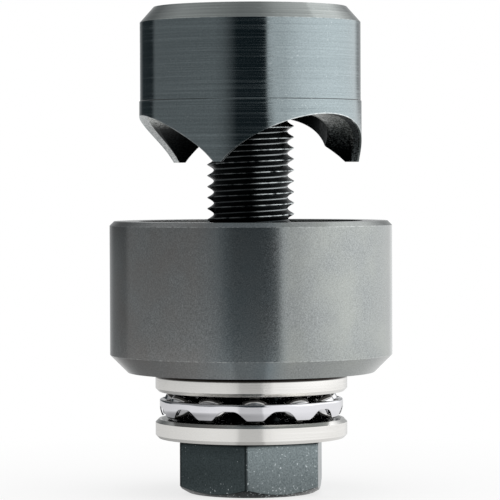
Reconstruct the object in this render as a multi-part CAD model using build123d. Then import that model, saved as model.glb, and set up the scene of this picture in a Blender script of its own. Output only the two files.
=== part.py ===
from build123d import *
from math import asin, cos, pi, radians, sin, sqrt, tan
import os

# Knockout punch set, in millimetres. It stands on the hex head of its draw bolt, +Z up.
# The origin is the middle of the head's end face, and the view in use is along +Y.

# Draw bolt
shank_diameter = 16.0
thread_crest_drop = 0.05
thread_length = 38.0
bolt_length = 75.0
bolt_end_chamfer = 1.6
head_across_flats = 25.0
head_height = 10.0
head_end_inset = 1.0
head_seat_inset = 0.83
head_chamfer_angle = 30.0
head_corner_angle = -94.0
neck_gap = 0.05

# Thrust bearing on the shank
turning_race_clearance = 0.5
still_race_clearance = 1.5
race_width = 9.0
race_thickness = 3.5
race_chamfer = 0.6
ball_diameter = 6.35
ball_count = 11
first_ball_angle = -87.8
ball_clearance = 0.04
groove_depth = 0.715
groove_ease = 0.255

# Pressed cage that spaces the balls
cage_thickness = 0.35
cage_web_rise = 0.4
cage_rim_clearance = 0.32
cage_foot_taper = 0.6
cage_foot_drop = 1.9
cage_inner_gap = 0.22
pocket_clearance = 0.1
scallop_rise = 1.6
outer_scallop_share = 0.66
inner_scallop_share = 0.5

# Die: a thick cup that takes the slug
die_wall = 5.35
die_height = 27.5
die_floor = 8.0
die_top_chamfer = 0.8
die_bottom_chamfer = 3.2
die_bolt_clearance = 0.4
die_hole_chamfer = 0.8
die_land = 6.0
die_land_relief = 0.5
cutting_clearance = 0.15

# Punch: a hollow cutter with pointed teeth
punch_diameter = 40.5
punch_height = 28.2
punch_land = 11.05
punch_land_relief = 0.15
punch_chamfer_width = 2.5
punch_chamfer_height = 2.8
thread_clearance = 0.05
bore_chamfer = 1.0
tooth_count = 3
first_gash_angle = -47.0
gash_rise = 8.48
gash_centre_drop = 2.87
tip_width = 1.4
edge_land = 1.3
hollow_drop = 0.2
hollow_focus = 27.0
recess_wall = 6.25
recess_depth = 12.0

# Open gap for the sheet, between the die and the tips
sheet_gap = 10.7

# Radii and heights that follow from the sizes above
shank_radius = shank_diameter / 2
crest_radius = shank_radius - thread_crest_drop
thread_bore_radius = crest_radius + thread_clearance
turning_race_bore = shank_radius + turning_race_clearance
still_race_bore = shank_radius + still_race_clearance
race_radius = turning_race_bore + race_width
pitch_radius = turning_race_bore + race_width / 2
ball_radius = ball_diameter / 2
groove_radius = ball_radius + groove_ease
race_spacing = ball_diameter + 2 * ball_clearance - 2 * groove_depth
punch_radius = punch_diameter / 2
die_bore_radius = punch_radius + cutting_clearance
die_radius = die_bore_radius + die_wall

turning_race_z = head_height
ball_z = turning_race_z + race_thickness + race_spacing / 2
still_race_z = turning_race_z + race_thickness + race_spacing
die_z = still_race_z + race_thickness
die_top_z = die_z + die_height
tip_z = die_top_z + sheet_gap
punch_top_z = tip_z + punch_height
bolt_end_z = head_height + bolt_length


def turned(*points):
    """A closed outline of (radius, height) points, turned about the bolt's axis."""
    outline = make_face(Plane.XZ * Polyline(*points, close=True))
    return revolve(outline, Axis.Z)


def radial_plane(angle, distance, height):
    """A plane facing outwards at an angle round the axis, with its own Y along +Z."""
    outwards = Vector(cos(radians(angle)), sin(radians(angle)), 0)
    sideways = Vector(-outwards.Y, outwards.X, 0)
    return Plane(origin=outwards * distance + Vector(0, 0, height), x_dir=sideways, z_dir=outwards)


def hex_head():
    """Hexagon whose corners are turned off at both ends."""
    corner_radius = head_across_flats / 2 / cos(radians(30))
    slope = tan(radians(head_chamfer_angle))
    end_radius = head_across_flats / 2 - head_end_inset
    seat_radius = corner_radius - head_seat_inset
    prism = extrude(RegularPolygon(corner_radius, 6, rotation=head_corner_angle), head_height)
    blank = turned(
        (0, 0),
        (end_radius, 0),
        (corner_radius, (corner_radius - end_radius) * slope),
        (corner_radius, head_height - head_seat_inset * slope),
        (seat_radius, head_height),
        (0, head_height),
    )
    return prism & blank


def draw_bolt():
    """Hex head, plain shank, and the stretch that carries the thread at its crest size."""
    thread_start_z = bolt_end_z - thread_length
    neck = turning_race_clearance - neck_gap
    shank = turned(
        (0, head_height),
        (shank_radius + neck, head_height),
        (shank_radius, head_height + neck),
        (shank_radius, thread_start_z),
        (crest_radius, thread_start_z + thread_crest_drop),
        (crest_radius, bolt_end_z - bolt_end_chamfer),
        (crest_radius - bolt_end_chamfer, bolt_end_z),
        (0, bolt_end_z),
    )
    return hex_head() + shank


def race(bore, bottom_z, groove_z):
    """A ground washer with a ball groove in the face that looks at the balls."""
    width = race_radius - bore
    middle = Pos(race_radius - width / 2, bottom_z + race_thickness / 2)
    section = middle * Rectangle(width, race_thickness)
    section = chamfer(section.vertices(), race_chamfer)
    section -= Pos(pitch_radius, groove_z) * Circle(groove_radius)
    return revolve(Plane.XZ * section, Axis.Z)


def ball_angles():
    return [first_ball_angle + 360 / ball_count * number for number in range(ball_count)]


def scallop(angle, start_radius, reach, half_width):
    """Arch between two lobes of a cage flange, cut upwards from its free edge."""
    foot_z = ball_z - cage_foot_drop
    return extrude(radial_plane(angle, start_radius, foot_z) * Ellipse(half_width, scallop_rise), reach)


def ball_cage():
    """Pressed ring: a flat web with ball pockets, and two flanges cut into lobes."""
    web_z = ball_z + cage_web_rise
    top_z = web_z + cage_thickness
    foot_z = ball_z - cage_foot_drop
    rim = pitch_radius + ball_radius + cage_rim_clearance
    foot = rim - cage_foot_taper
    hub = pitch_radius - ball_radius - cage_inner_gap
    ring = turned(
        (hub - cage_thickness, foot_z),
        (hub, foot_z),
        (hub, web_z),
        (rim, web_z),
        (foot, foot_z),
        (foot + cage_thickness, foot_z),
        (rim + cage_thickness, web_z),
        (rim + cage_thickness, top_z),
        (hub - cage_thickness, top_z),
    )
    half_step = 180 / ball_count
    outer_half_width = radians(half_step) * rim * outer_scallop_share
    inner_half_width = radians(half_step) * hub * inner_scallop_share
    for angle in ball_angles():
        pocket = Cylinder(ball_radius + pocket_clearance, 2 * cage_thickness)
        ring -= Rot(0, 0, angle) * Pos(pitch_radius, 0, web_z + cage_thickness / 2) * pocket
        ring -= scallop(angle + half_step, pitch_radius, race_radius - pitch_radius, outer_half_width)
        ring -= scallop(angle + half_step, shank_radius, pitch_radius - shank_radius, inner_half_width)
    return ring


def ball(angle):
    return Rot(0, 0, angle) * Pos(pitch_radius, 0, ball_z) * Sphere(ball_radius)


def die():
    """Cup with a cutting land at its mouth, a wider bore below it and a floor for the bolt."""
    floor_z = die_z + die_floor
    wide_radius = die_bore_radius + die_land_relief
    hole_radius = shank_radius + die_bolt_clearance
    land_z = die_top_z - die_land
    return turned(
        (hole_radius, die_z + die_hole_chamfer),
        (hole_radius + die_hole_chamfer, die_z),
        (die_radius - die_bottom_chamfer, die_z),
        (die_radius, die_z + die_bottom_chamfer),
        (die_radius, die_top_z - die_top_chamfer),
        (die_radius - die_top_chamfer, die_top_z),
        (die_bore_radius, die_top_z),
        (die_bore_radius, land_z),
        (wide_radius, land_z - die_land_relief),
        (wide_radius, floor_z),
        (hole_radius + die_hole_chamfer, floor_z),
        (hole_radius, floor_z - die_hole_chamfer),
    )


def gash_outline(angle, distance, radius, focus, drop):
    """Arch of one gash, on a plane across it at a distance from the axis.

    The arch is an ellipse as it shows on the punch's skin. Level lines carry it
    inwards through a circle of this radius, to where they would all meet, which
    is the axis or a focus beyond it.
    """
    semi_height = gash_rise + gash_centre_drop
    tip_half_angle = tip_width / 2 / punch_radius
    half_width = punch_radius * sin(pi / tooth_count - tip_half_angle)
    half_width /= sqrt(1 - (gash_centre_drop / semi_height) ** 2)
    end_share = min(0.98, punch_radius / half_width * 0.999)
    end_turn = asin(end_share)
    steps = 10
    arch = []
    for step in range(steps + 1):
        turn = end_turn * (2 * step / steps - 1)
        swing = asin(half_width / punch_radius * sin(turn))
        spread = radius * sin(swing) / (radius * cos(swing) + focus)
        rise = semi_height * cos(turn) - gash_centre_drop - drop
        arch.append((spread * (distance + focus), rise))
    shares = [step / steps for step in range(steps + 1)]
    roof = Edge.make_spline([Vector(*point) for point in arch], parameters=shares)
    low = -gash_centre_drop
    left = (arch[0][0], low)
    right = (arch[-1][0], low)
    sides = Polyline(arch[0], left, right, arch[-1])
    return radial_plane(angle, distance, tip_z) * make_face([roof] + sides.edges())


def gash(angle, radius, focus, drop):
    """The space between two teeth, from near the axis to outside the punch."""
    near = gash_outline(angle, shank_radius / 8, radius, focus, drop)
    far = gash_outline(angle, punch_radius + edge_land, radius, focus, drop)
    return loft([near, far], ruled=True)


def punch():
    """Turned blank with a cutting land, a recess, a threaded bore and gashes between teeth.

    Each gash is cut twice. The first cut runs to the axis and leaves a narrow land
    along the cutting edge. The second, a little lower, hollows the tooth inside that
    land, so its two inner faces meet in a ridge that climbs from the tip to the recess.
    """
    body_radius = punch_radius - punch_land_relief
    recess_radius = punch_radius - recess_wall
    land_z = tip_z + punch_land
    recess_z = tip_z + recess_depth
    blank = turned(
        (recess_radius, tip_z),
        (punch_radius, tip_z),
        (punch_radius, land_z),
        (body_radius, land_z + punch_land_relief),
        (body_radius, punch_top_z - punch_chamfer_height),
        (body_radius - punch_chamfer_width, punch_top_z),
        (thread_bore_radius + bore_chamfer, punch_top_z),
        (thread_bore_radius, punch_top_z - bore_chamfer),
        (thread_bore_radius, recess_z),
        (recess_radius, recess_z),
    )
    for number in range(tooth_count):
        angle = first_gash_angle + 360 / tooth_count * number
        blank -= gash(angle, punch_radius, 0, 0)
        blank -= gash(angle, punch_radius - edge_land, hollow_focus, hollow_drop)
    return blank


def build():
    groove_shift = groove_radius - ball_radius - ball_clearance
    nodes = {
        "draw_bolt": draw_bolt(),
        "lower_race": race(turning_race_bore, turning_race_z, ball_z + groove_shift),
        "upper_race": race(still_race_bore, still_race_z, ball_z - groove_shift),
        "ball_cage": ball_cage(),
        "die": die(),
        "punch": punch(),
    }
    for number, angle in enumerate(ball_angles(), 1):
        nodes[f"ball_{number:02d}"] = ball(angle)
    os.makedirs("parts", exist_ok=True)
    for name, shape in nodes.items():
        export_step(shape, f"parts/{name}.step")
        print(name, round(shape.volume, 1))


build()
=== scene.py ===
import bmesh
import bpy
import math
from mathutils import Matrix, Vector


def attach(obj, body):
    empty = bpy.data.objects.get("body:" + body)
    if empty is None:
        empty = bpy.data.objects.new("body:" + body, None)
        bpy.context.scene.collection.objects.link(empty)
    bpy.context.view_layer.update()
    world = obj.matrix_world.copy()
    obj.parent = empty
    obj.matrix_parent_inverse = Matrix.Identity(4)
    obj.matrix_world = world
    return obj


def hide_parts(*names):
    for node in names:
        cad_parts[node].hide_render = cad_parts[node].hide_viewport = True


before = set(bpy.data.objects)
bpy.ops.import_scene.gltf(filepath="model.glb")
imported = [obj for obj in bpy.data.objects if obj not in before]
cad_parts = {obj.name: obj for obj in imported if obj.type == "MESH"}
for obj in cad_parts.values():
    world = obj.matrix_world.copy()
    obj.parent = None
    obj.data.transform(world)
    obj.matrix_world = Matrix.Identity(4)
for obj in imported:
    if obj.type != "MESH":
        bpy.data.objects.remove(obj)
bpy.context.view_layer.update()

MM = 0.001

# Sizes of the knockout punch that its pieces and finishes follow, in millimetres as on its
# drawing. Heights are from the end face of the bolt's head. The first crest is the one on
# the right, below the start, where the helix is cut off.
THREAD_PITCH = 2.0
THREAD_CREST_RADIUS = 7.95
THREAD_DEPTH = 1.22
THREAD_ROOT_RADIUS = THREAD_CREST_RADIUS - THREAD_DEPTH
THREAD_START = 47.0
FIRST_CREST = 44.74
BOLT_END = 85.0
BOLT_END_CHAMFER = 1.6
HEAD_HEIGHT = 10.0
HEAD_CORNER_RADIUS = 14.43
HEAD_END_RADIUS = 11.5
HEAD_END_SLOPE = math.tan(math.radians(30))
FRONT_CORNER_X = -1.0
RIGHT_CORNER_X = 12.0
BALL_COUNT = 11
FIRST_BALL_ANGLE = -87.8
BALL_RADIUS = 3.175
BALL_HEIGHT = 16.0
PITCH_RADIUS = 13.0
TRACK_RADIUS = 16.4
TRACK_HALF_HEIGHT = 2.53
DIE_SHADOW_EDGE = 21.15
DIE_BOTTOM_EDGE = 25.2
DIE_TOP_EDGE = 48.7
PUNCH_STEP = 71.33
PUNCH_CHAMFER_EDGE = 85.6
PUNCH_TOP_RADIUS = 17.6
PUNCH_BODY_RADIUS = 20.1
PUNCH_RECESS_RADIUS = 14.0
PUNCH_RECESS_TOP = 72.2
TOOTH_LAND_RADIUS = 18.72
FIRST_GASH_ANGLE = -47.0
GASH_ROOF = 68.7
ARCH_CENTRE = 57.33
ARCH_RISE = 11.35
ARCH_SPREAD = 1.1408

# Widths of the painted highlights along edges, and of the dark line in the punch's step, each side
# of an edge
LINE_WIDTH = 0.08
EDGE_WIDTH = 0.16

# Points of a sheet, and corners of a solid, that are nearer than this are one, in metres
TOUCHING = 0.5e-6
SAME_CORNER = 1e-6

# Kinds of node that come up most
MATH = "ShaderNodeMath"
RANGE = "ShaderNodeMapRange"
MIX = "ShaderNodeMix"
NOISE = "ShaderNodeTexNoise"
# A Mix node's colours share their names with its plain numbers, so they go by number
A, B = 6, 7


def linear(code):
    """A written sRGB colour such as "8a9092" as linear red, green, blue and alpha."""
    shares = [int(code[i:i + 2], 16) / 255 for i in (0, 2, 4)]
    return [s / 12.92 if s <= 0.04045 else ((s + 0.055) / 1.055) ** 2.4 for s in shares] + [1.0]


def fill(tree, node, inputs):
    """Fills a node's inputs with values, other nodes or their outputs. The inputs are a
    list in the node's own order, or a dictionary by number or name."""
    named = inputs if isinstance(inputs, dict) else dict(enumerate(inputs))
    for socket, value in named.items():
        if isinstance(value, bpy.types.Node):
            value = next(output for output in value.outputs if output.enabled)
        if isinstance(value, bpy.types.NodeSocket):
            tree.links.new(value, node.inputs[socket])
        else:
            node.inputs[socket].default_value = value


def add(tree, kind, inputs=(), **settings):
    """Adds one node with its settings and fills its inputs."""
    node = tree.nodes.new(kind)
    for name, value in settings.items():
        setattr(node, name, value)
    fill(tree, node, inputs)
    return node


def per(size):
    """Scale of a pattern whose grains are this many millimetres."""
    return 1 / (size * MM)


def placed(name, data):
    """A new object in the scene, at the origin."""
    thing = bpy.data.objects.new(name, data)
    bpy.context.scene.collection.objects.link(thing)
    return thing


def finish(name, colour, metallic, roughness):
    """A new material: its shader carries the plain colour, metal share and roughness."""
    material = bpy.data.materials.new(name)
    material.use_nodes = True
    tree = material.node_tree
    tree.nodes.clear()
    inputs = {"Base Color": linear(colour), "Metallic": metallic, "Roughness": roughness}
    shader = add(tree, "ShaderNodeBsdfPrincipled", inputs)
    add(tree, "ShaderNodeOutputMaterial", {"Surface": shader})
    return material, tree, shader


def parts_of_place(tree):
    """Object coordinates, their X, Y and Z, and their distance from the bolt's axis."""
    place = add(tree, "ShaderNodeTexCoord").outputs["Object"]
    part = add(tree, "ShaderNodeSeparateXYZ", [place]).outputs
    flat = add(tree, "ShaderNodeCombineXYZ", [part["X"], part["Y"]])
    radius = add(tree, "ShaderNodeVectorMath", [flat], operation="LENGTH")
    return place, part, radius


def tool_lines(tree, part, radius, length, spacing, detail):
    """Noise drawn out along the tool's path: level lines on a wall, rings on a face.
    Length and spacing of the lines are in millimetres."""
    across = add(tree, MATH, [part["Z"], radius], operation="SUBTRACT")
    path = add(tree, "ShaderNodeCombineXYZ", [part["X"], part["Y"], across])
    scale = (per(length), per(length), per(spacing))
    drawn = add(tree, "ShaderNodeMapping", {"Vector": path, "Scale": scale})
    return add(tree, NOISE, {"Vector": drawn, "Scale": 1.0, "Detail": detail})


def edge_highlights(tree, height, edges, patches):
    """Painted highlights: thin lines at these heights along an edge, broken in patches as rubbed
    wear would be.
    """
    total = 0.0
    for edge in edges:
        near = add(tree, MATH, [height, edge * MM, LINE_WIDTH * MM], operation="COMPARE")
        total = add(tree, MATH, [total, near], operation="ADD")
    broken = add(tree, RANGE, [patches, 0.38, 0.66])
    return add(tree, MATH, [total, broken], operation="MULTIPLY")


def blackened_turned_tool_steel():
    """Tool steel turned on a lathe and blackened. The tool leaves fine lines that break up the
    gloss, and the black is thin, so it reads as cool grey metal with a few scratches. The gashes
    are milled, bare and speckled; their hollow is painted black as shade except at its lit roof,
    their land is painted lit on the left and shaded on the right, and the honed cutting edge and
    the top chamfer's edges carry painted highlights."""
    material, tree, shader = finish("blackened_turned_tool_steel", "8d979a", 1.0, 0.2)
    place, part, radius = parts_of_place(tree)
    # The tool's lines are 0.1 mm apart on the real punch and 0.22 mm here, so that they show,
    # and its deeper marks are 0.5 mm apart
    lines = tool_lines(tree, part, radius, 30, 0.22, 3.0)
    marks = tool_lines(tree, part, radius, 14, 0.5, 2.0)
    # Grain of the black, 0.2 mm, and patches where handling thins it, 0.67 mm
    grain = add(tree, NOISE, {"Vector": place, "Scale": per(0.2), "Detail": 2.0})
    patches = add(tree, NOISE, {"Vector": place, "Scale": per(0.67), "Detail": 4.0})
    drawn = add(tree, MATH, [lines, 0.4], operation="MULTIPLY")
    mottled = add(tree, MATH, [grain, 0.6, drawn], operation="MULTIPLY_ADD")
    tone = add(tree, RANGE, [mottled, 0.36, 0.64])
    turned = add(tree, MIX, {0: tone, A: linear("869194"), B: linear("9ea9ac")}, data_type="RGBA")
    deep = add(tree, RANGE, [marks, 0.64, 0.8, 0.0, 0.25])
    marked = add(tree, MIX, {0: deep, A: turned, B: linear("4c5457")}, data_type="RGBA")

    # The top is faced and its edge chamfered last, so both are a little barer and warmer
    topped = add(tree, MATH, [part["Z"], PUNCH_CHAMFER_EDGE * MM], operation="GREATER_THAN")
    fine = add(tree, RANGE, [lines, 0.25, 0.75])
    warm = add(tree, MIX, {0: fine, A: linear("8b8e8b"), B: linear("babdb9")}, data_type="RGBA")
    barer = add(tree, MATH, [topped, 0.7], operation="MULTIPLY")
    faced = add(tree, MIX, {0: barer, A: marked, B: warm}, data_type="RGBA")

    # The small step above the cutting land is drawn dark, in patches
    at_step = add(tree, MATH, [part["Z"], PUNCH_STEP * MM, LINE_WIDTH * MM], operation="COMPARE")
    step_patches = add(tree, RANGE, [marks, 0.35, 0.55, 0.3, 0.85])
    in_step = add(tree, MATH, [at_step, step_patches], operation="MULTIPLY")
    lined = add(tree, MIX, {0: in_step, A: faced, B: linear("15191a")}, data_type="RGBA")

    # Both edges of the top chamfer carry painted highlights
    inner_highlight = edge_highlights(tree, radius, [PUNCH_TOP_RADIUS], patches)
    inner_edge = add(tree, MATH, [topped, inner_highlight], operation="MULTIPLY")
    outer_edge = edge_highlights(tree, part["Z"], [PUNCH_CHAMFER_EDGE], patches)
    either = add(tree, MATH, [inner_edge, outer_edge], operation="MAXIMUM")
    edge_highlight = add(tree, MATH, [either, 0.45], operation="MULTIPLY")
    wear_and_highlight = add(tree, MIX, {0: edge_highlight, A: lined, B: linear("d9dddd")}, data_type="RGBA")

    # A few slanting scratches of 4 mm, 0.1 mm wide and drawn 0.24 mm wide, so that they show,
    # where 6.2 mm patches of the skin were handled
    fit = {"Vector": place, "Rotation": (0.3, 0.6, 0.2), "Scale": (per(4), per(0.24), per(0.24))}
    slanted = add(tree, "ShaderNodeMapping", fit)
    scratches = add(tree, NOISE, {"Vector": slanted, "Scale": 1.0, "Detail": 0.0})
    scratch = add(tree, RANGE, [scratches, 0.74, 0.82, 0.0, 0.4])
    hands = add(tree, NOISE, {"Vector": place, "Scale": per(6.2), "Detail": 1.0})
    handled = add(tree, RANGE, [hands, 0.5, 0.6])
    scratched = add(tree, MATH, [scratch, handled], operation="MULTIPLY")
    worn_skin = add(tree, MIX, {0: scratched, A: wear_and_highlight, B: linear("cdd4d5")}, data_type="RGBA")

    # Height of the cutting edge at each place round the punch: an arch over each gash.
    # The honed edge carries a painted highlight.
    azimuth = add(tree, MATH, [part["Y"], part["X"]], operation="ARCTAN2")
    turn = add(tree, MATH, [azimuth, math.radians(FIRST_GASH_ANGLE)], operation="SUBTRACT")
    off_gash = add(tree, MATH, [turn, math.pi / 3, -math.pi / 3], operation="WRAP")
    sideways = add(tree, MATH, [off_gash], operation="SINE")
    reach = add(tree, MATH, [sideways, ARCH_SPREAD], operation="MULTIPLY")
    squared = add(tree, MATH, [reach, 2.0], operation="POWER")
    rest = add(tree, MATH, [1.0, squared], operation="SUBTRACT")
    real = add(tree, MATH, [rest, 0.0], operation="MAXIMUM")
    arch = add(tree, MATH, [real], operation="SQRT")
    edge = add(tree, MATH, [arch, ARCH_RISE * MM, ARCH_CENTRE * MM], operation="MULTIPLY_ADD")
    on_edge = add(tree, MATH, [part["Z"], edge, EDGE_WIDTH * MM], operation="COMPARE")
    highlight_strength = add(tree, RANGE, [patches, 0.4, 0.6, 0.35, 0.95])
    cutting_edge_highlight = add(tree, MATH, [on_edge, highlight_strength], operation="MULTIPLY")
    skin = add(tree, MIX, {0: cutting_edge_highlight, A: worn_skin, B: linear("d9dddd")}, data_type="RGBA")

    # Milled gashes: everything below the recess's roof and inside the skin. The cutter's
    # marks are 0.15 mm on the real punch and 0.35 mm here, so that they show.
    low = add(tree, MATH, [part["Z"], (PUNCH_RECESS_TOP + 0.1) * MM], operation="LESS_THAN")
    inside = [radius, (PUNCH_BODY_RADIUS - 0.1) * MM, (PUNCH_BODY_RADIUS - 0.25) * MM]
    milled = add(tree, MATH, [low, add(tree, RANGE, inside)], operation="MULTIPLY")
    chatter = add(tree, NOISE, {"Vector": place, "Scale": per(0.35), "Detail": 1.0})
    speckle = add(tree, RANGE, [chatter, 0.4, 0.62])
    bare = add(tree, MIX, {0: speckle, A: linear("9ea29e"), B: linear("f8faf8")}, data_type="RGBA")
    hollow_shade = add(tree, MIX, {0: speckle, A: linear("101415"), B: linear("2b3132")}, data_type="RGBA")
    lit_land = add(tree, MIX, {0: speckle, A: linear("c9cece"), B: linear("f4f6f6")}, data_type="RGBA")
    shaded_land = add(tree, MIX, {0: speckle, A: linear("1d2122"), B: linear("7c8284")}, data_type="RGBA")
    # The hollow is painted black as shade; only its roof, near the skin and towards the front, is
    # painted as lit bare metal
    ragged = add(tree, MATH, [speckle, 2.4 * MM, part["Z"]], operation="MULTIPLY_ADD")
    height = add(tree, RANGE, [ragged, (GASH_ROOF - 4.3) * MM, (GASH_ROOF + 0.1) * MM])
    recess = [radius, (PUNCH_RECESS_RADIUS + 0.6) * MM, (PUNCH_RECESS_RADIUS - 0.1) * MM]
    behind = add(tree, RANGE, [part["Y"], 2 * MM, 6 * MM])
    shaded_share = add(tree, MATH, [add(tree, RANGE, recess), behind], operation="MAXIMUM")
    lit_share = add(tree, MATH, [1.0, shaded_share], operation="SUBTRACT")
    lit_roof = add(tree, MATH, [height, lit_share], operation="MULTIPLY")
    hollow = add(tree, MIX, {0: lit_roof, A: hollow_shade, B: bare}, data_type="RGBA")
    # Painted light and shade: the land along the cutting edge is bright on the left and dark on the
    # right
    land_edge = [radius, (TOOTH_LAND_RADIUS - 0.05) * MM, (TOOTH_LAND_RADIUS + 0.05) * MM]
    rightwards = add(tree, RANGE, [part["X"], 4 * MM, 9 * MM])
    land = add(tree, MIX, {0: rightwards, A: lit_land, B: shaded_land}, data_type="RGBA")
    cut = add(tree, MIX, {0: add(tree, RANGE, land_edge), A: hollow, B: land}, data_type="RGBA")
    colour = add(tree, MIX, {0: milled, A: skin, B: cut}, data_type="RGBA")

    streaks = add(tree, RANGE, [lines, 0.45, 0.68, 0.08, 0.2])
    gloss = add(tree, MIX, {"Factor": milled, "A": streaks, "B": 0.36})
    ridges = add(tree, MATH, [lines, 0.6], operation="MULTIPLY")
    relief = add(tree, MATH, [grain, 0.4, ridges], operation="MULTIPLY_ADD")
    bump = add(tree, "ShaderNodeBump", {"Height": relief, "Strength": 0.16, "Distance": 0.02 * MM})
    fill(tree, shader, {"Base Color": colour, "Roughness": gloss, "Normal": bump})
    return material


def blasted_blackened_tool_steel():
    """Tool steel, turned, blasted with fine grit and blackened. The grit leaves an even grain that
    scatters the light softly, the oxide is cloudy, its right side is painted paler as painted
    light, and the edges carry painted highlights here and there."""
    material, tree, shader = finish("blasted_blackened_tool_steel", "8c8f90", 1.0, 0.24)
    place, part = parts_of_place(tree)[:2]
    # Grit marks are 0.1 mm on the real die and 0.22 mm here, so that they show. Clouds of the
    # oxide are 7.7 mm, and patches where handling thins it 0.67 mm.
    grit = add(tree, NOISE, {"Vector": place, "Scale": per(0.22), "Detail": 3.0})
    cloud = add(tree, NOISE, {"Vector": place, "Scale": per(7.7), "Detail": 3.0})
    patches = add(tree, NOISE, {"Vector": place, "Scale": per(0.67), "Detail": 4.0})
    tone = add(tree, RANGE, [grit, 0.3, 0.72])
    grained = add(tree, MIX, {0: tone, A: linear("767a7b"), B: linear("a3a7a8")}, data_type="RGBA")
    # The black drifts from brown on the left to blue, as oxide does; further right it turns pale
    # grey, which is painted light
    drift = add(tree, RANGE, [part["X"], -10 * MM, -4 * MM])
    blued = add(tree, MIX, {0: drift, A: linear("877f7a"), B: linear("74868e")}, data_type="RGBA")
    painted_light_right = add(tree, RANGE, [part["X"], 3 * MM, 7 * MM])
    oxide_and_light = add(tree, MIX, {0: painted_light_right, A: blued, B: linear("a6a9a2")}, data_type="RGBA")
    clouded = add(tree, RANGE, [cloud, 0.35, 0.7, 0.15, 0.5])
    shade = add(tree, MIX, {0: clouded, A: grained, B: oxide_and_light}, data_type="RGBA")
    # Painted highlights along the top and bottom edges
    edge_highlight = edge_highlights(tree, part["Z"], [DIE_TOP_EDGE, DIE_BOTTOM_EDGE], patches)
    some = add(tree, MATH, [edge_highlight, 0.42], operation="MULTIPLY")
    colour = add(tree, MIX, {0: some, A: shade, B: linear("dde0df")}, data_type="RGBA")
    rough = add(tree, RANGE, [grit, 0.0, 1.0, 0.08, 0.2])
    bump = add(tree, "ShaderNodeBump", {"Height": grit, "Strength": 0.15, "Distance": 0.02 * MM})
    fill(tree, shader, {"Base Color": colour, "Roughness": rough, "Normal": bump})
    return material


def ground_bearing_steel():
    """Hardened bearing steel, ground on its outside and faces: bright, with fine grinding lines and
    a wide soft shine. The ball track is painted dark, as old grease and as shade between the races,
    and a painted shadow lies under the die."""
    material, tree, shader = finish("ground_bearing_steel", "e6e4e1", 1.0, 0.22)
    part, radius = parts_of_place(tree)[1:]
    # Grinding lines are 0.05 mm apart on the real races and 0.2 mm here, so that they show
    lines = tool_lines(tree, part, radius, 16, 0.2, 2.0)
    steel = add(tree, MIX, {0: lines, A: linear("e3e1dd"), B: linear("f3f2ef")}, data_type="RGBA")
    # The ball track's faces between the races are painted dark: old grease and painted shade
    band = [part["Z"], BALL_HEIGHT * MM, TRACK_HALF_HEIGHT * MM]
    level = add(tree, MATH, band, operation="COMPARE")
    within = add(tree, MATH, [radius, TRACK_RADIUS * MM], operation="LESS_THAN")
    track = add(tree, MATH, [level, within], operation="MULTIPLY")
    grease_and_shade = add(tree, MIX, {0: track, A: steel, B: linear("494844")}, data_type="RGBA")
    # Painted shadow of the die on the top of the upper race
    die_shadow = add(tree, RANGE, [part["Z"], (DIE_SHADOW_EDGE - 0.2) * MM, DIE_SHADOW_EDGE * MM])
    colour = add(tree, MIX, {0: die_shadow, A: grease_and_shade, B: linear("2a2723")}, data_type="RGBA")
    rough = add(tree, RANGE, [lines, 0.0, 1.0, 0.08, 0.2])
    bump = add(tree, "ShaderNodeBump", {"Height": lines, "Strength": 0.1, "Distance": 0.01 * MM})
    fill(tree, shader, {"Base Color": colour, "Roughness": rough, "Normal": bump})
    return material


def tumbled_pressed_steel():
    """Steel sheet, pressed to shape and tumbled: nearly a mirror, with slight waves."""
    material, tree, shader = finish("tumbled_pressed_steel", "e4e4e8", 1.0, 0.13)
    place = add(tree, "ShaderNodeTexCoord").outputs["Object"]
    # Waves that the press leaves in the sheet: 2.4 mm
    waves = add(tree, NOISE, {"Vector": place, "Scale": per(2.4), "Detail": 2.0})
    rough = add(tree, RANGE, [waves, 0.3, 0.7, 0.04, 0.1])
    bump = add(tree, "ShaderNodeBump", {"Height": waves, "Strength": 0.2, "Distance": 0.02 * MM})
    fill(tree, shader, {"Roughness": rough, "Normal": bump})
    return material


def polished_ball_steel():
    """Lapped bearing steel: a clean mirror with only the faintest haze."""
    material, tree, shader = finish("polished_ball_steel", "dcdcde", 1.0, 0.05)
    place = add(tree, "ShaderNodeTexCoord").outputs["Object"]
    # Films of oil: 1.1 mm
    haze = add(tree, NOISE, {"Vector": place, "Scale": per(1.1), "Detail": 2.0})
    fill(tree, shader, {"Roughness": add(tree, RANGE, [haze, 0.0, 1.0, 0.03, 0.08])})
    return material


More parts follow.
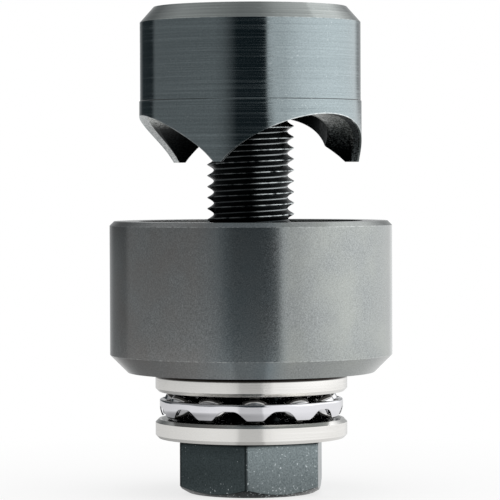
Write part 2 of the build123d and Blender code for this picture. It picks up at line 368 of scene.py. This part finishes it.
def blackened_rolled_thread():
    """Thread rolled into the bolt and blackened with oil on it: near black and glossy, with its
    crests rubbed bright by the punch, drawn as painted highlights, and painted glints in its roots,
    both painted brighter on its right side as painted light."""
    material, tree, shader = finish("blackened_rolled_thread", "2a2e30", 1.0, 0.3)
    place, part, radius = parts_of_place(tree)
    # Rubbed and oily patches: 1.4 mm
    patches = add(tree, NOISE, {"Vector": place, "Scale": per(1.4), "Detail": 3.0})
    top = [(THREAD_CREST_RADIUS - 0.35) * MM, (THREAD_CREST_RADIUS - 0.09) * MM]
    crest = add(tree, RANGE, [radius, *top])
    patch = add(tree, RANGE, [patches, 0.36, 0.58])
    wear_and_highlight = add(tree, MATH, [crest, patch], operation="MULTIPLY")
    # Oil lies in the roots; their glint is a painted highlight
    bottom = [(THREAD_ROOT_RADIUS + 0.1) * MM, (THREAD_ROOT_RADIUS + 0.03) * MM]
    root = add(tree, RANGE, [radius, *bottom, 0.0, 0.4])
    glint = add(tree, MATH, [wear_and_highlight, root], operation="MAXIMUM")
    # Painted light: both are brighter on the right side
    lit_side = add(tree, RANGE, [part["X"], 0.0, 1.5 * MM, 0.25, 1.0])
    highlight_strength = add(tree, MATH, [glint, lit_side], operation="MULTIPLY")
    colour = add(tree, MIX, {0: highlight_strength, A: linear("2a2e30"), B: linear("d8dfe0")}, data_type="RGBA")
    rough = add(tree, RANGE, [patches, 0.0, 1.0, 0.2, 0.4])
    bump = add(tree, "ShaderNodeBump", {"Height": patches, "Strength": 0.2, "Distance": 0.03 * MM})
    fill(tree, shader, {"Base Color": colour, "Roughness": rough, "Normal": bump})
    return material


def blackened_forged_steel():
    """Forged and blackened head of the bolt: dark green grey, with a fine dry grain and tiny bright
    specks where the black is chipped, most of them along its lower edge. The left faces and their
    corners are painted darker as shade, the right face paler as painted light, the chamfer round
    the end face near black as shade, and a painted shadow lies under the race."""
    material, tree, shader = finish("blackened_forged_steel", "656e70", 1.0, 0.36)
    place, part, radius = parts_of_place(tree)
    # The dry grain is 0.1 mm on the real head and 0.28 mm here, so that it shows. Clouds of
    # oil are 3.8 mm and chips 0.4 mm.
    grain = add(tree, NOISE, {"Vector": place, "Scale": per(0.28), "Detail": 3.0})
    cloud = add(tree, NOISE, {"Vector": place, "Scale": per(3.8), "Detail": 3.0})
    chips = add(tree, NOISE, {"Vector": place, "Scale": per(0.4), "Detail": 1.0})
    tone = add(tree, RANGE, [grain, 0.3, 0.7])
    pale = add(tree, MIX, {0: tone, A: linear("646e70"), B: linear("868f91")}, data_type="RGBA")
    deep = add(tree, MIX, {0: tone, A: linear("3f484a"), B: linear("545e60")}, data_type="RGBA")
    # Painted shade: the left faces are darker
    left = add(tree, MATH, [part["X"], FRONT_CORNER_X * MM], operation="LESS_THAN")
    left_shaded = add(tree, MIX, {0: left, A: pale, B: deep}, data_type="RGBA")
    # Painted light: the right face is paler
    right = [(RIGHT_CORNER_X - 0.1) * MM, (RIGHT_CORNER_X + 0.1) * MM]
    lit_right_face = add(tree, RANGE, [part["X"], *right, 0.0, 0.6])
    faces = add(tree, MIX, {0: lit_right_face, A: left_shaded, B: linear("c9cecf")}, data_type="RGBA")
    # Painted shade along the corners on the left
    ridge = [(HEAD_CORNER_RADIUS - 0.21) * MM, (HEAD_CORNER_RADIUS - 0.11) * MM]
    corners = add(tree, RANGE, [radius, *ridge, 0.0, 0.75])
    leftwards = add(tree, MATH, [part["X"], 0.0], operation="LESS_THAN")
    corner_shade = add(tree, MATH, [corners, leftwards], operation="MULTIPLY")
    edged = add(tree, MIX, {0: corner_shade, A: faces, B: linear("23292a")}, data_type="RGBA")
    # The chamfer round the end face is painted near black, as shade
    cone = [radius, HEAD_END_SLOPE, (0.04 - HEAD_END_RADIUS * HEAD_END_SLOPE) * MM]
    chamfer = add(tree, MATH, cone, operation="MULTIPLY_ADD")
    under = add(tree, MATH, [part["Z"], chamfer], operation="LESS_THAN")
    chamfer_shade = add(tree, MIX, {0: under, A: edged, B: linear("12181a")}, data_type="RGBA")
    lower = add(tree, RANGE, [part["Z"], 0.6 * MM, 2.2 * MM, 0.07, 0.0])
    fewer = add(tree, MATH, [left, -0.05, lower], operation="MULTIPLY_ADD")
    more = add(tree, MATH, [chips, fewer], operation="ADD")
    chip = add(tree, RANGE, [more, 0.68, 0.74])
    shade = add(tree, MIX, {0: chip, A: chamfer_shade, B: linear("bcc4c6")}, data_type="RGBA")
    # Painted shadow under the race, on the top of the head
    under_race = [(HEAD_HEIGHT - 1.0) * MM, (HEAD_HEIGHT - 0.5) * MM]
    race_shadow = add(tree, RANGE, [part["Z"], *under_race, 0.0, 0.95])
    colour = add(tree, MIX, {0: race_shadow, A: shade, B: linear("15191a")}, data_type="RGBA")
    rough = add(tree, RANGE, [cloud, 0.0, 1.0, 0.24, 0.36])
    bump = add(tree, "ShaderNodeBump", {"Height": grain, "Strength": 0.3, "Distance": 0.03 * MM})
    fill(tree, shader, {"Base Color": colour, "Roughness": rough, "Normal": bump})
    return material


def made_by_rule(name, tree, values):
    """A plain mesh object made by a node tree, whose named inputs take these values."""
    holder = placed(name, bpy.data.meshes.new(name))
    rule = holder.modifiers.new("rule", "NODES")
    rule.node_group = tree
    sockets = {s.name: s.identifier for s in tree.interface.items_tree if s.in_out == "INPUT"}
    for label, value in values.items():
        rule[sockets[label]] = value
    bpy.context.view_layer.update()
    ready = holder.evaluated_get(bpy.context.evaluated_depsgraph_get())
    mesh = bpy.data.meshes.new_from_object(ready)
    holder.modifiers.clear()
    holder.data = mesh
    mesh.name = name
    return holder


def rule_tree(name, numbers):
    """An empty node tree with one named input for each size, and its material."""
    tree = bpy.data.node_groups.new(name, "GeometryNodeTree")
    for label in numbers:
        tree.interface.new_socket(label, in_out="INPUT", socket_type="NodeSocketFloat")
    tree.interface.new_socket("Finish", in_out="INPUT", socket_type="NodeSocketMaterial")
    tree.interface.new_socket("Piece", in_out="OUTPUT", socket_type="NodeSocketGeometry")
    return tree, add(tree, "NodeGroupInput").outputs


def flat_sheet(tree, columns, rows):
    """A square sheet divided into columns and rows, and each point's share of the way
    along and across it, from 0 to 1."""
    grid = {"Size X": 1.0, "Size Y": 1.0, "Vertices X": columns + 1, "Vertices Y": rows + 1}
    sheet = add(tree, "GeometryNodeMeshGrid", grid)
    where = add(tree, "ShaderNodeSeparateXYZ", [add(tree, "GeometryNodeInputPosition")]).outputs
    along = add(tree, MATH, [where["X"], 0.5], operation="ADD")
    across = add(tree, MATH, [where["Y"], 0.5], operation="ADD")
    return sheet, along, across


def wrapped(tree, sheet, angle, radius, height):
    """The sheet with each point moved to its angle, radius and height round the axis."""
    cosine = add(tree, MATH, [angle], operation="COSINE")
    sine = add(tree, MATH, [angle], operation="SINE")
    x = add(tree, MATH, [radius, cosine], operation="MULTIPLY")
    y = add(tree, MATH, [radius, sine], operation="MULTIPLY")
    spot = add(tree, "ShaderNodeCombineXYZ", [x, y, height])
    return add(tree, "GeometryNodeSetPosition", {0: sheet, "Position": spot})


def close_rule(tree, shape, sizes):
    """Ends a node tree: joins what touches, shades it smooth and gives it its finish."""
    merged = add(tree, "GeometryNodeMergeByDistance", {0: shape, "Distance": TOUCHING})
    smooth = add(tree, "GeometryNodeSetShadeSmooth", [merged])
    real = add(tree, "GeometryNodeRealizeInstances", [smooth])
    done = add(tree, "GeometryNodeSetMaterial", {0: real, "Material": sizes["Finish"]})
    add(tree, "NodeGroupOutput", [done])


def thread_rule():
    """Right-hand thread: a sheet whose rows follow the helix, wrapped round the bolt.

    Each row keeps one place on the thread's section all the way round, so crests
    and roots stay sharp. Past both ends the rows gather into a flat round end.
    """
    # Points across one pitch, turns, and points round the bolt
    rows, turns, steps = 14, 21, 96
    names = ["Pitch", "Crest Radius", "Depth", "First Crest", "Start", "End", "End Chamfer"]
    tree, sizes = rule_tree("rolled_thread", names)
    sheet, round_share, turn_share = flat_sheet(tree, steps, rows * turns)
    turn = add(tree, MATH, [turn_share, turns], operation="MULTIPLY")
    climb = add(tree, MATH, [turn, round_share], operation="ADD")
    rise = [climb, sizes["Pitch"], sizes["First Crest"]]
    height = add(tree, MATH, rise, operation="MULTIPLY_ADD")
    above = add(tree, MATH, [height, sizes["Start"]], operation="MAXIMUM")
    kept = add(tree, MATH, [above, sizes["End"]], operation="MINIMUM")

    # Section: a flat crest 0.06 of a pitch wide, and sides that ease into a round root
    off_crest = add(tree, MATH, [turn, 0.5], operation="PINGPONG")
    slope = add(tree, RANGE, [off_crest, 0.03, 0.5, 1.0, 0.0])
    steepened = add(tree, MATH, [slope, 1.6], operation="POWER")
    cut = add(tree, MATH, [1.0, steepened], operation="SUBTRACT")
    # The thread deepens over its first one and a half pitches
    run_out = add(tree, MATH, [sizes["Pitch"], 1.5, sizes["Start"]], operation="MULTIPLY_ADD")
    full = add(tree, RANGE, [kept, sizes["Start"], run_out])
    share = add(tree, MATH, [cut, full], operation="MULTIPLY")
    drop = add(tree, MATH, [share, sizes["Depth"]], operation="MULTIPLY")
    threaded = add(tree, MATH, [sizes["Crest Radius"], drop], operation="SUBTRACT")
    # The end chamfer cuts across the turns
    end_radius = [sizes["Crest Radius"], sizes["End Chamfer"]]
    tip = add(tree, MATH, end_radius, operation="SUBTRACT")
    below_end = add(tree, MATH, [sizes["End"], kept], operation="SUBTRACT")
    cone = add(tree, MATH, [tip, below_end], operation="ADD")
    pointed = add(tree, MATH, [threaded, cone], operation="MINIMUM")

    # Rows that lie past an end by more than one step draw in to its middle
    beyond = add(tree, MATH, [height, kept], operation="SUBTRACT")
    past = add(tree, MATH, [beyond], operation="ABSOLUTE")
    one_row = add(tree, MATH, [sizes["Pitch"], rows - 0.5], operation="DIVIDE")
    inside = add(tree, MATH, [past, one_row], operation="LESS_THAN")
    radius = add(tree, MATH, [pointed, inside], operation="MULTIPLY")
    angle = add(tree, MATH, [round_share, 2 * math.pi], operation="MULTIPLY")
    close_rule(tree, wrapped(tree, sheet, angle, radius, kept), sizes)
    return tree


def cage_rule():
    """Pressed ball cage: one sheet bent over the balls, whose free edges wave between
    lobes and arches, given its thickness, with a round pocket for each ball."""
    names = ["Lobes", "First Lobe", "Rim Radius", "Foot Radius", "Hub Radius", "Web Height"]
    names += ["Foot Height", "Arch Rise", "Bend Radius", "Thickness", "Pitch Radius"]
    tree, sizes = rule_tree("pressed_ball_cage", names + ["Pocket Radius"])
    bend_radius = sizes["Bend Radius"]
    # Points round each lobe, and across the sheet: outer flange, bend, web, bend, inner flange
    round_lobe = 36
    outer, bend, web = 12, 4, 4
    points = 2 * outer + 2 * bend + web
    sheet, round_share, across = flat_sheet(tree, BALL_COUNT * round_lobe, points)
    full_turn = [round_share, 2 * math.pi, sizes["First Lobe"]]
    angle = add(tree, MATH, full_turn, operation="MULTIPLY_ADD")

    # The free edge: flat lobes at the balls, broad round arches between them
    lobe = add(tree, MATH, [round_share, sizes["Lobes"]], operation="MULTIPLY")
    off_lobe = add(tree, MATH, [lobe, 0.5], operation="PINGPONG")
    flank = add(tree, RANGE, [off_lobe, 0.15, 0.42])
    broad = add(tree, MATH, [flank, 0.63], operation="POWER")
    arch = add(tree, RANGE, [broad, 0.0, 1.0], interpolation_type="SMOOTHSTEP")
    scallop = [arch, sizes["Arch Rise"], sizes["Foot Height"]]
    edge = add(tree, MATH, scallop, operation="MULTIPLY_ADD")

    # How far along each of its five stretches a point of the sheet lies
    step = add(tree, MATH, [across, float(points)], operation="MULTIPLY")
    at = [0, outer, outer + bend, outer + bend + web, outer + 2 * bend + web, points]
    rise = add(tree, RANGE, [step, at[0], at[1]])
    first_bend = add(tree, RANGE, [step, at[1], at[2], 0.0, math.pi / 2])
    over = add(tree, RANGE, [step, at[2], at[3]])
    second_bend = add(tree, RANGE, [step, at[3], at[4], 0.0, math.pi / 2])
    fall = add(tree, RANGE, [step, at[4], at[5]])

    wall_top = add(tree, MATH, [sizes["Web Height"], bend_radius], operation="SUBTRACT")
    wall = add(tree, MATH, [wall_top, edge], operation="SUBTRACT")
    outer_height = add(tree, MATH, [rise, wall, edge], operation="MULTIPLY_ADD")
    # Below the arches' tops the outer flange curves in towards the balls
    arch_top = add(tree, MATH, [sizes["Foot Height"], sizes["Arch Rise"]], operation="ADD")
    climbed = add(tree, RANGE, [outer_height, sizes["Foot Height"], arch_top])
    left_over = add(tree, MATH, [1.0, climbed], operation="SUBTRACT")
    curve = add(tree, MATH, [left_over, 2.0], operation="POWER")
    narrowing = add(tree, MATH, [sizes["Rim Radius"], sizes["Foot Radius"]], operation="SUBTRACT")
    drawn_in = add(tree, MATH, [curve, narrowing], operation="MULTIPLY")

    # Both bends are quarter turns
    first_cosine = add(tree, MATH, [first_bend], operation="COSINE")
    first_in = add(tree, MATH, [1.0, first_cosine], operation="SUBTRACT")
    first_turn = add(tree, MATH, [bend_radius, first_in], operation="MULTIPLY")
    second_sine = add(tree, MATH, [second_bend], operation="SINE")
    second_turn = add(tree, MATH, [bend_radius, second_sine], operation="MULTIPLY")
    rim_to_hub = add(tree, MATH, [sizes["Rim Radius"], sizes["Hub Radius"]], operation="SUBTRACT")
    two_bends = add(tree, MATH, [bend_radius, 2.0], operation="MULTIPLY")
    width = add(tree, MATH, [rim_to_hub, two_bends], operation="SUBTRACT")
    flange_in = add(tree, MATH, [drawn_in, first_turn], operation="ADD")
    web_in = add(tree, MATH, [over, width, second_turn], operation="MULTIPLY_ADD")
    inward = add(tree, MATH, [flange_in, web_in], operation="ADD")
    radius = add(tree, MATH, [sizes["Rim Radius"], inward], operation="SUBTRACT")
    first_sine = add(tree, MATH, [first_bend], operation="SINE")
    up = add(tree, MATH, [bend_radius, first_sine, outer_height], operation="MULTIPLY_ADD")
    second_cosine = add(tree, MATH, [second_bend], operation="COSINE")
    second_down = add(tree, MATH, [1.0, second_cosine], operation="SUBTRACT")
    down = add(tree, MATH, [bend_radius, second_down], operation="MULTIPLY")
    bent_height = add(tree, MATH, [up, down], operation="SUBTRACT")
    fallen = add(tree, MATH, [fall, wall], operation="MULTIPLY")
    height = add(tree, MATH, [bent_height, fallen], operation="SUBTRACT")

    bent = wrapped(tree, sheet, angle, radius, height)
    sewn = add(tree, "GeometryNodeMergeByDistance", {0: bent, "Distance": TOUCHING})
    thick = {"Mesh": sewn, "Offset Scale": sizes["Thickness"], "Individual": False}
    walls = add(tree, "GeometryNodeExtrudeMesh", thick)
    inner = add(tree, "GeometryNodeFlipFaces", [sewn])
    both = add(tree, "GeometryNodeJoinGeometry", [walls])
    fill(tree, both, [inner])
    walled = add(tree, "GeometryNodeMergeByDistance", {0: both, "Distance": TOUCHING})

    # A round pocket for each ball
    circle = {"Vertices": BALL_COUNT, "Radius": sizes["Pitch Radius"]}
    spots = add(tree, "GeometryNodeMeshCircle", circle)
    turned = add(tree, "ShaderNodeCombineXYZ", {2: sizes["First Lobe"]})
    raised = add(tree, "ShaderNodeCombineXYZ", {2: sizes["Web Height"]})
    at_balls = {0: spots, "Translation": raised, "Rotation": turned}
    centres = add(tree, "GeometryNodeTransform", at_balls)
    cylinder = {"Vertices": 48, "Radius": sizes["Pocket Radius"], "Depth": 1.6 * MM}
    drill = add(tree, "GeometryNodeMeshCylinder", cylinder)
    drills = add(tree, "GeometryNodeInstanceOnPoints", {"Points": centres, "Instance": drill})
    tools = add(tree, "GeometryNodeRealizeInstances", [drills])
    meshes = {"Mesh 1": walled, "Mesh 2": tools}
    cut = add(tree, "GeometryNodeMeshBoolean", meshes, operation="DIFFERENCE", solver="EXACT")
    close_rule(tree, cut, sizes)
    return tree


def head_and_shank(material):
    """The bolt's hex head and plain shank, from the frame's own bolt, its edges rounded."""
    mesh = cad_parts["draw_bolt"].data.copy()
    shape = bmesh.new()
    shape.from_mesh(mesh)
    bmesh.ops.remove_doubles(shape, verts=shape.verts, dist=SAME_CORNER)
    everything = shape.verts[:] + shape.edges[:] + shape.faces[:]
    cut = {"plane_co": Vector((0, 0, THREAD_START * MM)), "plane_no": (0, 0, 1)}
    bmesh.ops.bisect_plane(shape, geom=everything, dist=SAME_CORNER, clear_outer=True, **cut)
    bmesh.ops.holes_fill(shape, edges=[e for e in shape.edges if len(e.link_faces) == 1])
    nearly_flat = 0.01
    bmesh.ops.dissolve_limit(
        shape, angle_limit=nearly_flat, verts=shape.verts, edges=shape.edges
    )
    shape.to_mesh(mesh)
    shape.free()
    mesh.materials.clear()
    mesh.materials.append(material)
    piece = placed("bolt_head_and_shank", mesh)
    rounding = piece.modifiers.new("rounded edges", "BEVEL")
    rounding.width = 0.25 * MM
    rounding.segments = 3
    rounding.limit_method = "ANGLE"
    rounding.angle_limit = math.radians(25)
    for face in mesh.polygons:
        face.use_smooth = True
    return piece


# Pieces of the bolt and its bearing
forged = blackened_forged_steel()
rolled = blackened_rolled_thread()
pressed = tumbled_pressed_steel()

bolt = head_and_shank(forged)
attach(bolt, "draw_bolt")
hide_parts("draw_bolt")

thread_sizes = {
    "Pitch": THREAD_PITCH * MM,
    "Crest Radius": THREAD_CREST_RADIUS * MM,
    "Depth": THREAD_DEPTH * MM,
    "First Crest": FIRST_CREST * MM,
    "Start": THREAD_START * MM,
    "End": BOLT_END * MM,
    "End Chamfer": BOLT_END_CHAMFER * MM,
    "Finish": rolled,
}
thread = made_by_rule("bolt_thread", thread_rule(), thread_sizes)
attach(thread, "draw_bolt")

cage_sizes = {
    "Lobes": float(BALL_COUNT),
    "First Lobe": math.radians(FIRST_BALL_ANGLE),
    "Rim Radius": 16.5 * MM,
    "Foot Radius": 16.05 * MM,
    "Hub Radius": 9.55 * MM,
    "Web Height": 16.9 * MM,
    "Foot Height": 14.05 * MM,
    "Arch Rise": 1.78 * MM,
    "Bend Radius": 0.04 * MM,
    "Thickness": 0.22 * MM,
    "Pitch Radius": PITCH_RADIUS * MM,
    "Pocket Radius": (BALL_RADIUS + 0.1) * MM,
    "Finish": pressed,
}
cage = made_by_rule("pressed_cage", cage_rule(), cage_sizes)
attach(cage, "ball_cage")
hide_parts("ball_cage")

# Finishes of the solids that stay as they are
ground = ground_bearing_steel()
finishes = {
    "punch": blackened_turned_tool_steel(),
    "die": blasted_blackened_tool_steel(),
    "upper_race": ground,
    "lower_race": ground,
}
polished = polished_ball_steel()
for name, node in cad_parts.items():
    chosen = finishes.get(name, polished)
    node.data.materials.clear()
    node.data.materials.append(chosen)

# Camera at the photograph's angle: 538 mm in front, a little above the middle, long lens.
# Its focal length is 2948 px, and it looks down until its own level shows 72 px above the
# middle of the picture.
camera = placed("camera", bpy.data.cameras.new("camera"))
camera.data.lens = 212.3
camera.data.sensor_width = 36.0
camera.data.clip_start = 0.01
stand = Matrix.Translation((-0.16 * MM, -538 * MM, 57.3 * MM))
tilt = Matrix.Rotation(math.pi / 2 - math.atan(72 / 2948), 4, "X")
lean = Matrix.Rotation(math.radians(-0.2), 4, "Z")
camera.matrix_world = stand @ tilt @ lean
bpy.context.scene.camera = camera

# Light levels round the object, at degrees from the front, left negative. A large white
# softbox stands on the right, a dimmer one on the left, and a dark gap in front, where
# the camera is. The white table shows them too, paler.
WALL_STOPS = [(-180, 0.5), (-160, 0.2), (-150, 0.04), (-123, 0.04), (-117, 0.24), (-38, 0.25)]
WALL_STOPS += [(-28, 0.2), (-14, 0.02), (17.5, 0.02), (20, 0.95), (60, 1.0), (150, 1.0)]
WALL_STOPS += [(160, 0.4), (180, 0.45)]
TABLE_STOPS = [(-180, 0.6), (-143, 0.68), (-89, 0.8), (-45, 0.92), (-17, 0.89), (-13, 0.62)]
TABLE_STOPS += [(12, 0.62), (14, 0.95), (34, 1.0), (90, 1.0), (139, 0.95), (180, 0.6)]
# Ceiling, from left to right
CEILING_STOPS = [(-1, 0.6), (-0.5, 0.5), (-0.1, 0.33), (0.1, 0.38), (0.25, 0.66)]
CEILING_STOPS += [(0.5, 1.0), (1, 1.0)]


def bearing(tree, part):
    """Where a direction lies round the object, as an angle from the front (-Y), in
    radians: negative on the left, positive on the right."""
    to_front = add(tree, MATH, [part["Y"], -1.0], operation="MULTIPLY")
    return add(tree, MATH, [part["X"], to_front], operation="ARCTAN2")


def shades(tree, value, low, high, stops):
    """Grey levels given at stops along a value, and the value's own range."""
    share = add(tree, RANGE, [value, low, high])
    band = add(tree, "ShaderNodeValToRGB", [share])
    ramp = band.color_ramp
    while len(ramp.elements) < len(stops):
        ramp.elements.new(0.5)
    for element, (at, level) in zip(ramp.elements, stops):
        element.position = (at - stops[0][0]) / (stops[-1][0] - stops[0][0])
    for element, (at, level) in zip(ramp.elements, stops):
        element.color = (level, level, level, 1)
    return band


# Pale round table that runs into the white background, and keeps a soft shadow
TABLE_RADIUS = 360 * MM
TABLE_CORNERS = 96
floor_material, table, floor_shader = finish("pale_paper_sweep", "fafafa", 0.0, 0.9)
turns = [2 * math.pi * corner / TABLE_CORNERS for corner in range(TABLE_CORNERS)]
rim = [(TABLE_RADIUS * math.cos(turn), TABLE_RADIUS * math.sin(turn), 0) for turn in turns]
floor = placed("floor", bpy.data.meshes.new("floor"))
floor.data.from_pydata(rim, [], [tuple(range(TABLE_CORNERS))])
floor.data.materials.append(floor_material)
glow = add(table, "ShaderNodeEmission", {"Color": (1, 1, 1, 1), "Strength": 1.0})
ray = add(table, "ShaderNodeLightPath").outputs
spot, away = parts_of_place(table)[1:]
fade = add(table, RANGE, [away, 20 * MM, 120 * MM, 0.75, 1.0])
straight = [ray["Is Camera Ray"], ray["Is Transmission Ray"]]
direct = add(table, MATH, straight, operation="MAXIMUM")
share = add(table, MATH, [direct, fade], operation="MULTIPLY")
paper = add(table, "ShaderNodeMixShader", [share, floor_shader, glow])
# To metal the table glows as a painted reflection of the softboxes
sheen = shades(table, bearing(table, spot), -math.pi, math.pi, TABLE_STOPS)
# Painted shadow in that reflection: close to the object it is darker, most of all on the left, away
# from the softbox
least = add(table, RANGE, [spot["X"], -60 * MM, 40 * MM, 0.3, 0.92])
near_shadow = add(table, RANGE, [away, 45 * MM, 100 * MM, least, 1.0])
painted_reflection = add(table, "ShaderNodeEmission", {"Color": sheen, "Strength": near_shadow})
whole = add(table, "ShaderNodeMixShader", [ray["Is Glossy Ray"], paper, painted_reflection])
fill(table, table.get_output_node("ALL"), {"Surface": whole})

# Room: white to the camera, and the softboxes and their gaps to the metal
world = bpy.data.worlds.new("room")
world.use_nodes = True
room = world.node_tree
room.nodes.clear()
way = add(room, "ShaderNodeTexCoord").outputs["Generated"]
ways = add(room, "ShaderNodeSeparateXYZ", [way]).outputs
azimuth = bearing(room, ways)
# The softbox stands further round below than above, most of all at its far end
steep = add(room, MATH, [ways["Z"], 10.0, -0.2], operation="MULTIPLY_ADD")
level = add(room, "ShaderNodeClamp", [steep, -0.12, 0.05])
more = add(room, RANGE, [azimuth, 0.0, 2.2, 0.0, 4.0])
leaned = add(room, MATH, [level, more, azimuth], operation="MULTIPLY_ADD")
walls = shades(room, leaned, -math.pi, math.pi, WALL_STOPS)
# Far off, the table shows its shades drawn together
drawn = add(room, MATH, [azimuth, 0.62], operation="MULTIPLY")
far_table = shades(room, drawn, -math.pi, math.pi, TABLE_STOPS)
below = add(room, RANGE, [ways["Z"], 0.0, -0.03, 0.0, 0.3])
around = add(room, MIX, {0: below, A: walls, B: far_table}, data_type="RGBA")
ceiling = shades(room, ways["X"], -1.0, 1.0, CEILING_STOPS)
overhead = add(room, RANGE, [ways["Z"], 0.3, 0.75])
all_round = add(room, MIX, {0: overhead, A: around, B: ceiling}, data_type="RGBA")
cooler = add(room, "ShaderNodeVectorMath", [all_round, (-0.008, 0.0, 0.004)], operation="ADD")
ray = add(room, "ShaderNodeLightPath").outputs
dim = {0: ray["Is Glossy Ray"], A: (0.6, 0.6, 0.6, 1), B: cooler}
for_metal = add(room, MIX, dim, data_type="RGBA")
straight = [ray["Is Camera Ray"], ray["Is Transmission Ray"]]
direct = add(room, MATH, straight, operation="MAXIMUM")
background = add(room, MIX, {0: direct, A: for_metal, B: (1, 1, 1, 1)}, data_type="RGBA")
sky = add(room, "ShaderNodeBackground", {"Color": background, "Strength": 1.0})
add(room, "ShaderNodeOutputWorld", {"Surface": sky})
bpy.context.scene.world = world


def softbox(name, place, size, watts):
    """A soft lamp that looks at the middle of the punch and die. Its place and size are
    in metres."""
    lamp = placed(name, bpy.data.lights.new(name, "AREA"))
    lamp.data.shape = "RECTANGLE"
    lamp.data.size, lamp.data.size_y = size
    lamp.data.energy = watts
    away = Vector(place) - Vector((0, 0, 45 * MM))
    turn = away.to_track_quat("Z", "Y").to_matrix().to_4x4()
    lamp.matrix_world = Matrix.Translation(place) @ turn
    return lamp


right = softbox("softbox_right", (0.75, 0.05, 0.35), (3.0, 1.2), 3.0)
right.data.spread = math.radians(120)
top = softbox("softbox_top", (0.0, -0.1, 1.0), (0.8, 0.8), 3.0)
top.visible_glossy = False

bpy.context.scene.view_settings.view_transform = "Standard"
